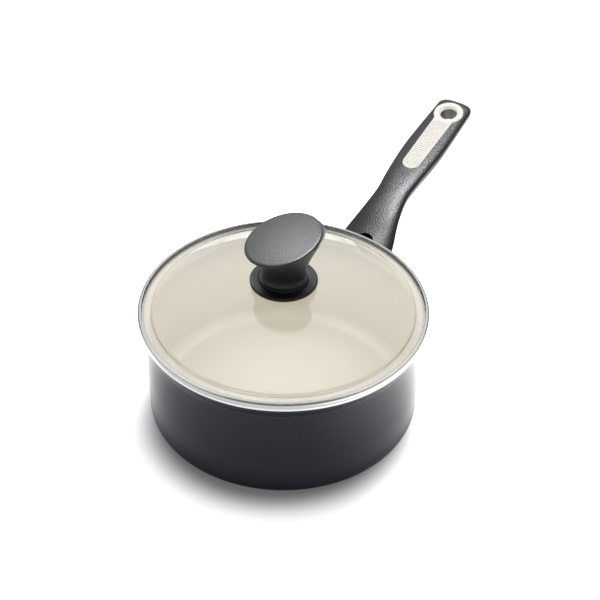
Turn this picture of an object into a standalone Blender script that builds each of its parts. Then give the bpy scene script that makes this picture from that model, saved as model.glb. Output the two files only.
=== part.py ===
"""Saucepan with a glass lid, a side handle and a slant-topped knob.

The pan's axis is Z, the table is z = 0, and the handle points along +X.
Lengths below are in millimetres and are turned into metres as the meshes are made.
"""
import math

import bmesh
import bpy
from mathutils import Matrix

MM = 0.001
GAP = 0.3                     # clearance kept between neighbouring pieces

# Pan
WALL_R = 92.3                 # outside of the upright wall
WALL_T = 2.9
FLOOR_T = 4.0
PAN_H = 81.2                  # top of the rim
RIM_R = 96.8                  # outside of the flared rim
RIM_BAND = 2.2                # height of the upright edge on the rim
FLARE_Z = 71.0                # where the wall starts to flare
BASE_CORNER_R = 7.0
FLOOR_CORNER_R = 10.0

# Lid
LID_R = 97.5                  # outside of the steel rim band
BAND_Z = PAN_H + GAP          # underside of the band, at rest on the pan
BAND_H = 4.0
BAND_T = 0.45                 # sheet thickness of the band
BAND_LAP = 2.8                # width of the band's top lap over the glass
GLASS_EDGE_T = 2.5
GLASS_T = 3.2
GLASS_APEX = 105.3            # top of the dome
FLANGE_R = 89.5               # where the flat flange turns up into the dome
KNOB_HOLE_R = 4.2

# Knob, turned about Z against the handle, as the lid lies on the pan
KNOB_TURN = math.radians(-50.5)
KNOB_TILT = math.radians(17.0)
KNOB_TOP_R = 26.5
KNOB_TOP_SHIFT = -0.7         # of the slanted top, towards its low side
KNOB_TOP_Z = 141.2            # centre of the slanted top
KNOB_EDGE_T = 2.0
KNOB_DOME = 1.8                # rise of its slightly domed top
NECK_R = 14.4
COLLAR_R = 22.6
COLLAR_Z = 106.2
COLLAR_T = 3.0
BOSS_R = 16.2
BOSS_H = 1.2
KNOB_Z = COLLAR_Z + COLLAR_T + BOSS_H + GAP

# Screw stack through the lid
SCREW_R = 2.0
INSERT_R = 4.0
INSERT_L = 14.0
GASKET_R = 14.0
UNDER_GASKET_T = 1.6
WASHER_T = 1.0
SCREW_HEAD_R = 4.6
SCREW_HEAD_T = 2.6

# Handle: (x, top z, half width, belly depth, crown) at its stations. The crown is
# how far the top stands above the widest line
HANDLE_STATIONS = (
    (88.0, 62.5, 21.8, 19.0, 8.0),
    (97.0, 66.5, 21.7, 19.0, 8.0),
    (112.0, 74.3, 20.6, 18.2, 6.8),
    (130.0, 85.0, 15.3, 14.4, 4.6),
    (146.0, 92.5, 12.5, 11.6, 3.5),
    (160.0, 97.6, 13.2, 13.0, 3.1),
    (176.0, 101.9, 14.3, 14.0, 3.0),
    (192.0, 105.6, 15.0, 13.4, 3.0),
    (210.0, 109.6, 14.7, 11.9, 3.0),
    (228.0, 113.6, 14.0, 10.7, 3.0),
    (245.0, 117.4, 13.4, 10.1, 3.0),
)
HANDLE_END = 244.3
END_CORNER_R = 5.2
ROOT_GAP_R = 95.6             # the root is hollowed to this radius round the pan

# Inlay on the straight stretch of the handle
INLAY_SLOPE = math.atan(0.2235)
HOLE_X = 230.1
HOLE_TOP_Z = 114.1
HOLE_R = 6.2
INLAY_RING_R = 11.0
INLAY_HALF_NEAR = 6.7         # half width at its pan end
INLAY_HALF_FAR = 7.4          # half width where it meets the ring
INLAY_NEAR = -63.5            # pan end, along the slope from the hole
INLAY_T = 2.4
INLAY_PROUD = 0.15

# Bracket tongue inside the handle's root
TONGUE_SLOPE = math.radians(27.0)
TONGUE_START = (90.0, 55.0)   # x and z of its lower face at the pan
TONGUE_L = 42.0
TONGUE_W = 14.0
TONGUE_T = 3.0
PAD_R = 94.9
PAD_HALF_W = 15.0
PAD_LOW, PAD_HIGH = 46.0, 62.0
HANDLE_SCREW_AT = 33.0        # along the tongue
HANDLE_SCREW_R = 2.4
HANDLE_SCREW_HEAD_R = 4.3
HANDLE_SCREW_HEAD_T = 2.5
HANDLE_WASHER_T = 0.8
WALL_UNDER_TONGUE = 2.4


def empty_scene():
    for thing in list(bpy.data.objects):
        bpy.data.objects.remove(thing, do_unlink=True)
    for group in list(bpy.data.collections):
        bpy.data.collections.remove(group)


def new_collection(name):
    group = bpy.data.collections.new(name)
    bpy.context.scene.collection.children.link(group)
    return group


def new_material(name, colour, roughness, metallic=0.0, alpha=1.0):
    made = bpy.data.materials.new(name)
    made.use_nodes = True
    shader = made.node_tree.nodes["Principled BSDF"]
    shader.inputs["Base Color"].default_value = (*colour, 1.0)
    shader.inputs["Roughness"].default_value = roughness
    shader.inputs["Metallic"].default_value = metallic
    shader.inputs["Alpha"].default_value = alpha
    return made


def new_object(name, mesh, group, material=None):
    made = bpy.data.objects.new(name, mesh)
    group.objects.link(made)
    if material:
        mesh.materials.append(material)
    else:
        made.hide_render = True
        made.display_type = "WIRE"
    return made


def smooth(thing, angle=35.0):
    thing.data.shade_smooth()
    thing.data.set_sharp_from_angle(angle=math.radians(angle))


def arc(cx, cz, radius, start, end, count):
    """Points on an arc in the profile plane, angles in degrees."""
    turns = [math.radians(start + (end - start) * i / count) for i in range(count + 1)]
    return [(cx + radius * math.cos(t), cz + radius * math.sin(t)) for t in turns]


def turned(name, profile, group, material=None, steps=64, closed=False):
    """A turned piece: its profile, in x and z, with a Screw modifier."""
    mesh = bpy.data.meshes.new(name)
    shape = bmesh.new()
    points = [shape.verts.new((x * MM, 0.0, z * MM)) for x, z in profile]
    pairs = list(zip(points, points[1:]))
    if closed:
        pairs.append((points[-1], points[0]))
    for first, second in pairs:
        shape.edges.new((first, second))
    shape.to_mesh(mesh)
    shape.free()
    made = new_object(name, mesh, group, material)
    screw = made.modifiers.new("turn", "SCREW")
    screw.steps = steps
    screw.render_steps = steps
    screw.use_merge_vertices = True
    screw.merge_threshold = 0.00001
    screw.use_smooth_shade = True
    return made


def washer(name, inner, outer, low, high, group, material, steps=32):
    profile = [(inner, high), (outer, high), (outer, low), (inner, low)]
    return turned(name, profile, group, material, steps, closed=True)


def box(name, low, high, group, material=None):
    """A box between two corners, in its object's own frame."""
    mesh = bpy.data.meshes.new(name)
    shape = bmesh.new()
    bmesh.ops.create_cube(shape, size=1.0)
    size = [(b - a) * MM for a, b in zip(low, high)]
    middle = [(a + b) / 2 * MM for a, b in zip(low, high)]
    bmesh.ops.scale(shape, vec=size, verts=shape.verts)
    bmesh.ops.translate(shape, vec=middle, verts=shape.verts)
    shape.to_mesh(mesh)
    shape.free()
    return new_object(name, mesh, group, material)


def rod(name, radius, low, high, group, material=None, sides=32):
    """A cylinder on its object's own Z axis."""
    mesh = bpy.data.meshes.new(name)
    shape = bmesh.new()
    bmesh.ops.create_cone(shape, cap_ends=True, segments=sides, radius1=radius * MM,
                          radius2=radius * MM, depth=(high - low) * MM)
    bmesh.ops.translate(shape, vec=(0.0, 0.0, (low + high) / 2 * MM), verts=shape.verts)
    shape.to_mesh(mesh)
    shape.free()
    return new_object(name, mesh, group, material)


def combine(thing, other, operation):
    step = thing.modifiers.new(f"{operation.lower()} {other.name}", "BOOLEAN")
    step.operation = operation
    step.object = other
    return step


def spline(table, x, column):
    """A smooth curve through a column of the stations, read at x."""
    last = len(table) - 1
    i = max(j for j in range(last) if table[j][0] <= x or j == 0)
    i = min(i, last - 1)

    def slope(j):
        a, b = max(j - 1, 0), min(j + 1, last)
        return (table[b][column] - table[a][column]) / (table[b][0] - table[a][0])

    run = table[i + 1][0] - table[i][0]
    t = (x - table[i][0]) / run
    start, end = table[i][column], table[i + 1][column]
    return ((2 * t**3 - 3 * t**2 + 1) * start + (t**3 - 2 * t**2 + t) * run * slope(i)
            + (3 * t**2 - 2 * t**3) * end + (t**3 - t**2) * run * slope(i + 1))


def pan_profile():
    """The floor and the inside going up, over the rim, and the outside coming down."""
    inside = WALL_R - WALL_T
    lip = RIM_R - WALL_T
    floor = arc(inside - FLOOR_CORNER_R, FLOOR_T + FLOOR_CORNER_R, FLOOR_CORNER_R, -90, 0, 6)
    inner_flare = [(inside, FLARE_Z + 1.0), (inside + 1.0, FLARE_Z + 2.8),
                   (lip - 0.7, PAN_H - RIM_BAND - 1.6), (lip, PAN_H - RIM_BAND + 0.4)]
    rim = [(lip, PAN_H - 0.4), (lip + 0.4, PAN_H), (RIM_R - 0.4, PAN_H), (RIM_R, PAN_H - 0.4)]
    outer_flare = [(RIM_R, PAN_H - RIM_BAND), (RIM_R - 0.9, PAN_H - RIM_BAND - 2.4),
                   (WALL_R + 1.1, FLARE_Z + 1.2), (WALL_R, FLARE_Z - 3.0)]
    corner = arc(WALL_R - 0.3 - BASE_CORNER_R, BASE_CORNER_R, BASE_CORNER_R, 0, -90, 6)
    return [(0.0, FLOOR_T)] + floor + inner_flare + rim + outer_flare + corner + [(0.0, 0.0)]


def make_pan(parts, materials):
    pan = turned("pan_body", pan_profile(), parts, materials["coated aluminium"], steps=64)
    smooth(pan)


def dome_z(radius):
    """Height of the glass dome's top, a round cap standing on the flange."""
    rise = GLASS_APEX - flange_top()
    ball = (FLANGE_R**2 + rise**2) / (2 * rise)
    return GLASS_APEX - ball + math.sqrt(ball**2 - radius**2)


def flange_top():
    return BAND_Z + BAND_H - BAND_T - 0.25


def make_lid_glass(parts, materials):
    top = flange_top()
    edge = LID_R - BAND_T - GAP
    stops = [KNOB_HOLE_R, 22.0, 38.0, 52.0, 64.0, 74.0, 82.0]
    upper = [(r, dome_z(r)) for r in stops] + [(FLANGE_R + 1.0, top + 0.25), (FLANGE_R + 3.0, top)]
    edge_top = [(edge - 0.7, top), (edge, top - 0.6)]
    edge_low = [(edge, top - GLASS_EDGE_T + 0.6), (edge - 0.7, top - GLASS_EDGE_T)]
    lower = [(FLANGE_R + 1.6, top - GLASS_EDGE_T), (FLANGE_R - 1.4, top - GLASS_T + 0.9)]
    lower += [(r, dome_z(r) - GLASS_T) for r in reversed(stops)]
    glass = turned("lid_glass", upper + edge_top + edge_low + lower, parts,
                   materials["tempered glass"], steps=64, closed=True)
    smooth(glass)


def make_lid_band(parts, materials):
    """The steel U that is rolled over the edge of the glass."""
    top = BAND_Z + BAND_H
    lap = LID_R - BAND_LAP
    foot = LID_R - BAND_LAP - 1.6
    outside = [(lap, top), (LID_R - 1.2, top), (LID_R - 0.35, top - 0.35), (LID_R, top - 1.2),
               (LID_R, BAND_Z + 0.5), (LID_R - 0.5, BAND_Z), (foot, BAND_Z)]
    inside = [(foot, BAND_Z + BAND_T), (LID_R - BAND_T - 0.1, BAND_Z + BAND_T),
              (LID_R - BAND_T, BAND_Z + BAND_T + 0.1), (LID_R - BAND_T, top - 1.2),
              (LID_R - BAND_T - 0.3, top - BAND_T), (lap, top - BAND_T)]
    band = turned("lid_rim_band", outside + inside, parts, materials["rolled stainless steel"],
                  steps=64, closed=True)
    smooth(band)


def make_knob_collar(parts, materials):
    """The stepped disc under the knob, hollowed below for its gasket."""
    top = COLLAR_Z + COLLAR_T
    profile = [(SCREW_R + 0.6, top + BOSS_H), (BOSS_R - 0.5, top + BOSS_H), (BOSS_R, top + BOSS_H - 0.5),
               (BOSS_R + 0.5, top - 0.5), (COLLAR_R - 2.2, top - 0.2), (COLLAR_R - 0.8, top - 0.3),
               (COLLAR_R, top - 1.2), (COLLAR_R, COLLAR_Z + 0.8), (COLLAR_R - 0.8, COLLAR_Z),
               (GASKET_R + GAP, COLLAR_Z), (GASKET_R + GAP, COLLAR_Z + 0.9),
               (SCREW_R + 0.6, COLLAR_Z + 0.9)]
    collar = turned("knob_collar", profile, parts, materials["black phenolic"], steps=40,
                    closed=True)
    smooth(collar)


def tilted(thing):
    """Lay a piece of the knob on its slanted top, with the high side away from the handle."""
    thing.matrix_world = (Matrix.Rotation(KNOB_TURN, 4, "Z")
                          @ Matrix.Translation((KNOB_TOP_SHIFT * MM, 0.0, KNOB_TOP_Z * MM))
                          @ Matrix.Rotation(-KNOB_TILT, 4, "Y"))


def make_knob(parts, cutters, materials):
    """A flared neck cut on the slant, closed by a thin, slightly domed disc."""
    neck = [(0.0, 152.0), (29.0, 152.0), (25.0, 143.2), (21.6, 135.8), (18.7, 129.4), (16.9, 124.9),
            (15.3, 120.4), (NECK_R, 116.0), (NECK_R, KNOB_Z + 2.2), (NECK_R + 0.3, KNOB_Z + 0.9),
            (NECK_R + 1.0, KNOB_Z), (0.0, KNOB_Z)]
    knob = turned("knob", neck, parts, materials["black phenolic"], steps=40)
    above = box("knob slant cutter", (-60, -60, -KNOB_EDGE_T + 0.4), (60, 60, 60), cutters)
    tilted(above)
    combine(knob, above, "DIFFERENCE")
    dome = [(KNOB_TOP_R * f, KNOB_DOME * (1 - f * f)) for f in (0.0, 0.3, 0.55, 0.8)]
    edge = [(KNOB_TOP_R - 0.9, 0.0), (KNOB_TOP_R - 0.2, -0.35), (KNOB_TOP_R, -1.0),
            (KNOB_TOP_R - 0.6, -KNOB_EDGE_T), (KNOB_TOP_R - 5.0, -KNOB_EDGE_T - 0.9)]
    disc = turned("knob top disc", dome + edge + [(0.0, -KNOB_EDGE_T - 4.0)], cutters, steps=48)
    tilted(disc)
    combine(knob, disc, "UNION")
    bore = rod("knob bore cutter", INSERT_R + GAP, KNOB_Z - 2.0, KNOB_Z + INSERT_L + 2.2, cutters,
               sides=24)
    combine(knob, bore, "DIFFERENCE")


def make_knob_fixings(parts, materials):
    """Everything on the lid screw, from the insert in the knob down to the screw's head."""
    hole = SCREW_R + GAP
    washer("knob_insert", hole, INSERT_R, KNOB_Z + 0.5, KNOB_Z + 0.5 + INSERT_L, parts,
           materials["brass"], steps=24)
    washer("knob_gasket_upper", hole, GASKET_R, GLASS_APEX + GAP, COLLAR_Z + 0.9 - GAP, parts,
           materials["silicone"])
    under = dome_z(KNOB_HOLE_R) - GLASS_T - GAP
    low = under - UNDER_GASKET_T
    washer("knob_gasket_lower", hole, 9.0, low, under - 0.2, parts, materials["silicone"])
    high = low - GAP
    washer("knob_washer", hole, 7.5, high - WASHER_T, high, parts, materials["zinc plated steel"])
    spring_high = high - WASHER_T - GAP
    washer("knob_spring_washer", hole, 3.9, spring_high - 1.0, spring_high, parts,
           materials["zinc plated steel"], steps=24)
    head_high = spring_high - 1.0 - GAP
    head_low = head_high - SCREW_HEAD_T
    tip = KNOB_Z + 0.5 + INSERT_L - 2.0
    profile = [(0.0, tip), (SCREW_R - 0.5, tip), (SCREW_R, tip - 0.5), (SCREW_R, head_high),
               (SCREW_HEAD_R, head_high), (SCREW_HEAD_R, head_low + 1.2),
               (SCREW_HEAD_R - 1.4, head_low + 0.2), (0.0, head_low)]
    turned("knob_screw", profile, parts, materials["zinc plated steel"], steps=24)


def handle_section(x, sides=28):
    """One ring of the handle: a round-cornered crown, flatter along the grip, over a belly."""
    top = spline(HANDLE_STATIONS, x, 1)
    width = spline(HANDLE_STATIONS, x, 2)
    belly = spline(HANDLE_STATIONS, x, 3)
    crown = spline(HANDLE_STATIONS, x, 4)
    flat = min(max((x - 100.0) / 60.0, 0.0), 1.0)
    past = max(0.0, x - (HANDLE_END - END_CORNER_R)) / END_CORNER_R
    pull = 1.0 - math.sqrt(max(0.0, 1.0 - min(past, 1.0)**2))
    middle = top - crown
    width -= END_CORNER_R * pull
    crown -= 1.4 * pull
    belly -= 4.0 * pull
    ring = []
    for i in range(sides):
        turn = 2 * math.pi * (i + 0.5) / sides
        c, s = math.cos(turn), math.sin(turn)
        power = 2 / (2.0 + 0.5 * flat) if s > 0 else 2 / (2.5 - 0.3 * flat)
        height = crown if s > 0 else belly
        y = math.copysign(width * abs(c)**power, c)
        z = middle + math.copysign(height * abs(s)**power, s)
        ring.append((x * MM, y * MM, z * MM))
    return ring


def make_handle_grip(parts, cutters, materials):
    """The grip, a loft of its sections, with the recesses that its fittings need."""
    body_end = HANDLE_END - END_CORNER_R
    first = HANDLE_STATIONS[0][0]
    count = 26
    stops = [first + (body_end - first) * i / count for i in range(count + 1)]
    stops += [body_end + END_CORNER_R * math.sin(math.radians(a)) for a in (20, 40, 60, 78)]
    mesh = bpy.data.meshes.new("handle_grip")
    shape = bmesh.new()
    rings = [[shape.verts.new(p) for p in handle_section(x)] for x in stops]
    for ring, following in zip(rings, rings[1:]):
        for i, corner in enumerate(ring):
            j = (i + 1) % len(ring)
            shape.faces.new((corner, ring[j], following[j], following[i]))
    shape.faces.new(list(reversed(rings[0])))
    shape.faces.new(rings[-1])
    bmesh.ops.recalc_face_normals(shape, faces=shape.faces)
    shape.to_mesh(mesh)
    shape.free()
    grip = new_object("handle_grip", mesh, parts, materials["black phenolic"])

    root = rod("root hollow cutter", ROOT_GAP_R, 20.0, 90.0, cutters, sides=72)
    combine(grip, root, "DIFFERENCE")
    notch = rod("root notch cutter", 8.0, 62.0, 100.0, cutters)
    notch.location = (105.0 * MM, 0.0, 0.0)
    combine(grip, notch, "DIFFERENCE")
    pocket = inlay_plate("inlay pocket cutter", cutters, None, GAP, INLAY_T + GAP)
    combine(grip, pocket, "DIFFERENCE")
    bore = rod("hanging hole cutter", HOLE_R + 0.5, -30.0, 10.0, cutters)
    on_inlay(bore)
    combine(grip, bore, "DIFFERENCE")
    slot = box("tongue slot cutter", (-10.0, -TONGUE_W / 2 - GAP, -GAP),
               (TONGUE_L + 1.0, TONGUE_W / 2 + GAP, TONGUE_T + GAP), cutters)
    on_tongue(slot)
    combine(grip, slot, "DIFFERENCE")
    seat = -GAP - WALL_UNDER_TONGUE
    screw_way = rod("handle screw cutter", HANDLE_SCREW_R + GAP, -40.0, 1.0, cutters, sides=24)
    on_tongue(screw_way, HANDLE_SCREW_AT)
    combine(grip, screw_way, "DIFFERENCE")
    head_way = rod("handle screw head cutter", HANDLE_SCREW_HEAD_R + 0.9, -40.0, seat, cutters,
                   sides=24)
    on_tongue(head_way, HANDLE_SCREW_AT)
    combine(grip, head_way, "DIFFERENCE")


def on_inlay(thing):
    thing.matrix_world = (Matrix.Translation((HOLE_X * MM, 0.0, HOLE_TOP_Z * MM))
                          @ Matrix.Rotation(-INLAY_SLOPE, 4, "Y"))


def on_tongue(thing, along=0.0):
    x, z = TONGUE_START
    thing.matrix_world = (Matrix.Translation((x * MM, 0.0, z * MM))
                          @ Matrix.Rotation(-TONGUE_SLOPE, 4, "Y")
                          @ Matrix.Translation((along * MM, 0.0, 0.0)))


def inlay_plate(name, group, material, grow, thickness):
    """A keyhole-shaped plate: a strip with a round end, widening into a ring."""
    ring = INLAY_RING_R + grow
    far = INLAY_HALF_FAR + grow
    near = INLAY_HALF_NEAR + grow
    join = math.degrees(math.asin(far / ring))
    outline = arc(0.0, 0.0, ring, -(180 - join), 180 - join, 28)
    outline += arc(INLAY_NEAR + INLAY_HALF_NEAR, 0.0, near, 90, 270, 12)
    curve = bpy.data.curves.new(name, "CURVE")
    curve.dimensions = "2D"
    curve.fill_mode = "BOTH"
    curve.extrude = thickness / 2 * MM
    line = curve.splines.new("POLY")
    line.points.add(len(outline) - 1)
    for point, (x, y) in zip(line.points, outline):
        point.co = (x * MM, y * MM, 0.0, 1.0)
    line.use_cyclic_u = True
    flat = bpy.data.objects.new(name + " outline", curve)
    group.objects.link(flat)
    bpy.context.view_layer.update()
    mesh = bpy.data.meshes.new_from_object(flat.evaluated_get(bpy.context.evaluated_depsgraph_get()))
    bpy.data.objects.remove(flat, do_unlink=True)
    shape = bmesh.new()
    shape.from_mesh(mesh)
    bmesh.ops.remove_doubles(shape, verts=shape.verts, dist=0.000001)
    middle = INLAY_PROUD - INLAY_T / 2
    if grow:
        middle = -thickness / 2 + INLAY_PROUD
    bmesh.ops.translate(shape, vec=(0.0, 0.0, middle * MM), verts=shape.verts)
    bmesh.ops.recalc_face_normals(shape, faces=shape.faces)
    shape.to_mesh(mesh)
    shape.free()
    mesh.name = name
    plate = new_object(name, mesh, group, material)
    on_inlay(plate)
    return plate


def make_handle_inlay(parts, cutters, materials):
    inlay = inlay_plate("handle_inlay", parts, materials["cream silicone"], 0.0, INLAY_T)
    hole = rod("inlay hole cutter", HOLE_R, -10.0, 10.0, cutters)
    on_inlay(hole)
    combine(inlay, hole, "DIFFERENCE")


def make_handle_bracket(parts, cutters, materials):
    """The steel bracket: a curved pad on the pan's wall and a tongue into the grip."""
    bracket = box("handle_bracket", (80.0, -PAD_HALF_W, PAD_LOW), (100.0, PAD_HALF_W, PAD_HIGH),
                  parts, materials["black coated steel"])
    outer = rod("bracket pad cutter", PAD_R, 30.0, 80.0, cutters, sides=96)
    combine(bracket, outer, "INTERSECT")
    tongue = box("bracket tongue", (0.0, -TONGUE_W / 2, 0.0), (TONGUE_L, TONGUE_W / 2, TONGUE_T),
                 cutters)
    on_tongue(tongue)
    combine(bracket, tongue, "UNION")
    inner = rod("bracket wall cutter", WALL_R + GAP, 20.0, 90.0, cutters, sides=96)
    combine(bracket, inner, "DIFFERENCE")
    tapped = rod("bracket tapped hole cutter", HANDLE_SCREW_R + 0.25, -10.0, 10.0, cutters, sides=24)
    on_tongue(tapped, HANDLE_SCREW_AT)
    combine(bracket, tapped, "DIFFERENCE")


def make_handle_fixings(parts, materials):
    seat = -GAP - WALL_UNDER_TONGUE - GAP
    ring = washer("handle_washer", HANDLE_SCREW_R + GAP, HANDLE_SCREW_HEAD_R + 0.4,
                  seat - HANDLE_WASHER_T, seat, parts, materials["zinc plated steel"], steps=24)
    on_tongue(ring, HANDLE_SCREW_AT)
    high = seat - HANDLE_WASHER_T - GAP
    low = high - HANDLE_SCREW_HEAD_T
    tip = TONGUE_T
    profile = [(0.0, tip), (HANDLE_SCREW_R - 0.4, tip), (HANDLE_SCREW_R, tip - 0.4),
               (HANDLE_SCREW_R, high), (HANDLE_SCREW_HEAD_R, high),
               (HANDLE_SCREW_HEAD_R, low + 1.1), (HANDLE_SCREW_HEAD_R - 1.3, low + 0.2), (0.0, low)]
    screw = turned("handle_screw", profile, parts, materials["zinc plated steel"], steps=24)
    on_tongue(screw, HANDLE_SCREW_AT)


def make_materials():
    return {
        "coated aluminium": new_material("coated aluminium", (0.05, 0.05, 0.055), 0.35),
        "tempered glass": new_material("tempered glass", (0.90, 0.93, 0.90), 0.03, alpha=0.35),
        "rolled stainless steel": new_material("rolled stainless steel", (0.75, 0.74, 0.72), 0.25, 1.0),
        "black phenolic": new_material("black phenolic", (0.045, 0.045, 0.048), 0.4),
        "cream silicone": new_material("cream silicone", (0.86, 0.85, 0.78), 0.55),
        "silicone": new_material("silicone", (0.75, 0.75, 0.73), 0.5),
        "brass": new_material("brass", (0.75, 0.56, 0.28), 0.35, 1.0),
        "zinc plated steel": new_material("zinc plated steel", (0.62, 0.63, 0.65), 0.32, 1.0),
        "black coated steel": new_material("black coated steel", (0.03, 0.03, 0.032), 0.45),
    }


def build():
    empty_scene()
    parts = new_collection("saucepan with glass lid")
    cutters = new_collection("cutters")
    materials = make_materials()
    make_pan(parts, materials)
    make_handle_bracket(parts, cutters, materials)
    make_handle_grip(parts, cutters, materials)
    make_handle_inlay(parts, cutters, materials)
    make_handle_fixings(parts, materials)
    make_lid_glass(parts, materials)
    make_lid_band(parts, materials)
    make_knob_collar(parts, materials)
    make_knob(parts, cutters, materials)
    make_knob_fixings(parts, materials)


build()
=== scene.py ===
"""A two-quart saucepan: dark enamel outside, cream ceramic inside, with a domed glass lid."""
import math

import bmesh
import bpy
from mathutils import Matrix, Vector


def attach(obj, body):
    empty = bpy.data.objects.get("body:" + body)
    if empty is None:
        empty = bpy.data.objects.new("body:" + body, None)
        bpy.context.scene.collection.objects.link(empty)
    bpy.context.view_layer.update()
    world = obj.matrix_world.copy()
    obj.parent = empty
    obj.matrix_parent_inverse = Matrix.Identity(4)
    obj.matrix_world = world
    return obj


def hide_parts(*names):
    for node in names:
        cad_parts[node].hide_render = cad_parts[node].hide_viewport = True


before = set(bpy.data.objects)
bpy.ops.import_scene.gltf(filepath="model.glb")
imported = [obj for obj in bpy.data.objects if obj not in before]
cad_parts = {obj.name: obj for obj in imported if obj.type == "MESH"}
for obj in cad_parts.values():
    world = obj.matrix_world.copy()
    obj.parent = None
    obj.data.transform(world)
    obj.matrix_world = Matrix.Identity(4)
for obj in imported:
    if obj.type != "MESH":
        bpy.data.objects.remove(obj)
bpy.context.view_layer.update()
MM = 0.001


# ---------------------------------------------------------------- camera and studio
# A long lens looks down on the pan from in front and to the left, and the handle
# points away to the right. The table is a white sheet with a painted glow and a painted contact shadow.

CAMERA_PLACE, LENS = (-0.7134814, -0.4499800, 0.7734020), 97.882
heading, dip, roll = math.radians(31.5), math.radians(39.0), math.radians(0.8)
ahead = Vector((math.cos(heading), math.sin(heading), 0.0))
aside = Vector((math.sin(heading), -math.cos(heading), 0.0))
upward = Vector((0.0, 0.0, 1.0))
sight = ahead * math.cos(dip) - upward * math.sin(dip)
rise = ahead * math.sin(dip) + upward * math.cos(dip)
across = aside * math.cos(roll) + rise * math.sin(roll)
over = rise * math.cos(roll) - aside * math.sin(roll)

lens = bpy.data.cameras.new("camera")
lens.lens = LENS
lens.clip_end = 50.0
camera = bpy.data.objects.new("camera", lens)
bpy.context.scene.collection.objects.link(camera)
camera.matrix_world = Matrix.Translation(CAMERA_PLACE) @ Matrix((across, over, -sight)).transposed().to_4x4()
bpy.context.scene.camera = camera
bpy.context.scene.view_settings.view_transform = "Standard"


def linear(hex_colour):
    """An sRGB hex colour as the linear RGBA that a shader takes."""
    channels = [int(hex_colour[i:i + 2], 16) / 255 for i in (1, 3, 5)]
    return (*[c / 12.92 if c <= 0.04045 else ((c + 0.055) / 1.055) ** 2.4 for c in channels], 1.0)


def add_node(tree, kind, settings=(), links=()):
    """Adds a node with its settings, by name or socket, and its links, by socket."""
    made = tree.nodes.new(kind)
    for key, value in dict(settings).items():
        if isinstance(key, int) or key in made.inputs:
            made.inputs[key].default_value = value
        else:
            setattr(made, key, value)
    for key, source in dict(links).items():
        tree.links.new(source, made.inputs[key])
    return made


def new_finish(name, **values):
    """A named finish, its node tree and its Principled shader with plain values set."""
    made = bpy.data.materials.new(name)
    made.use_nodes = True
    shader = made.node_tree.nodes["Principled BSDF"]
    for key, value in values.items():
        shader.inputs[key.replace("_", " ")].default_value = value
    return made, made.node_tree, shader


# White acrylic light table, satin. Its glow is painted light, stronger to the right
# and behind and plain again further out, and a painted contact shadow round the pan's
# foot darkens its colour and its glow. Each step goes from one value to another between two distances
# the middle of the painted contact shadow, a little toward the camera
PAINTED_SHADOW_MIDDLE, PLAIN_LIGHT, TABLE_SIZE, TABLE_TOP = (-0.0120, -0.0033, 0.0), 0.85, 8.0, -0.0003
acrylic, tree, shader = new_finish("white acrylic, painted glow and shadow", Roughness=0.8, Specular_IOR_Level=0.1)
place = add_node(tree, "ShaderNodeTexCoord").outputs["Object"]
foot = add_node(tree, "ShaderNodeVectorMath", {"operation": "SUBTRACT", 1: PAINTED_SHADOW_MIDDLE}, {0: place})
reach = add_node(tree, "ShaderNodeVectorMath", {"operation": "LENGTH"}, {0: foot.outputs["Vector"]})
rightward = add_node(tree, "ShaderNodeVectorMath", {"operation": "DOT_PRODUCT", 1: aside}, {0: place})
backward = add_node(tree, "ShaderNodeVectorMath", {"operation": "DOT_PRODUCT", 1: ahead}, {0: place})
steps = {}
# the shade step paints the contact shadow; the far, right and rear steps paint the glow
for step, distance, low, high, start, end in (("shade", reach, 0.078, 0.106, 0.16, 1.0),
                                              ("far", reach, 0.110, 0.170, 0.85, 1.45),
                                              ("right", rightward, 0.03, 0.16, 0.92, 2.2),
                                              ("rear", backward, -0.05, 0.06, 0.0, 1.0),
                                              ("near", reach, 0.20, 0.34, 1.0, 0.0)):
    made = add_node(tree, "ShaderNodeMapRange", {"interpolation_type": "SMOOTHSTEP", "From Min": low,
                                                 "From Max": high, "To Min": start, "To Max": end},
                    {"Value": distance.outputs["Value"]})
    steps[step] = made.outputs["Result"]
# painted contact shadow: the table's colour darkens to black round the pan's foot
tint = add_node(tree, "ShaderNodeMix", {"data_type": "RGBA", 6: linear("#000000"), 7: linear("#C8C8C8")},
                {0: steps["shade"]})
glow = add_node(tree, "ShaderNodeMath", {"operation": "ADD"}, {0: steps["right"], 1: steps["rear"]})
glow = add_node(tree, "ShaderNodeMath", {"operation": "MULTIPLY"}, {0: glow.outputs["Value"], 1: steps["far"]})
glow = add_node(tree, "ShaderNodeMix", {"data_type": "FLOAT", 2: PLAIN_LIGHT},
                {0: steps["near"], 3: glow.outputs["Value"]})
# the painted contact shadow darkens the glow too
glow = add_node(tree, "ShaderNodeMath", {"operation": "MULTIPLY"}, {0: glow.outputs[0], 1: steps["shade"]})
shader.inputs["Emission Color"].default_value = linear("#FFFFFF")
tree.links.new(glow.outputs["Value"], shader.inputs["Emission Strength"])
tree.links.new(tint.outputs[2], shader.inputs["Base Color"])

bpy.ops.object.select_all(action="DESELECT")
bpy.ops.mesh.primitive_plane_add(size=TABLE_SIZE, location=(0.0, 0.0, TABLE_TOP))
table_top = bpy.context.object
table_top.name = "table_top"
bpy.ops.object.transform_apply(location=True)
table_top.data.materials.append(acrylic)

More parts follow.
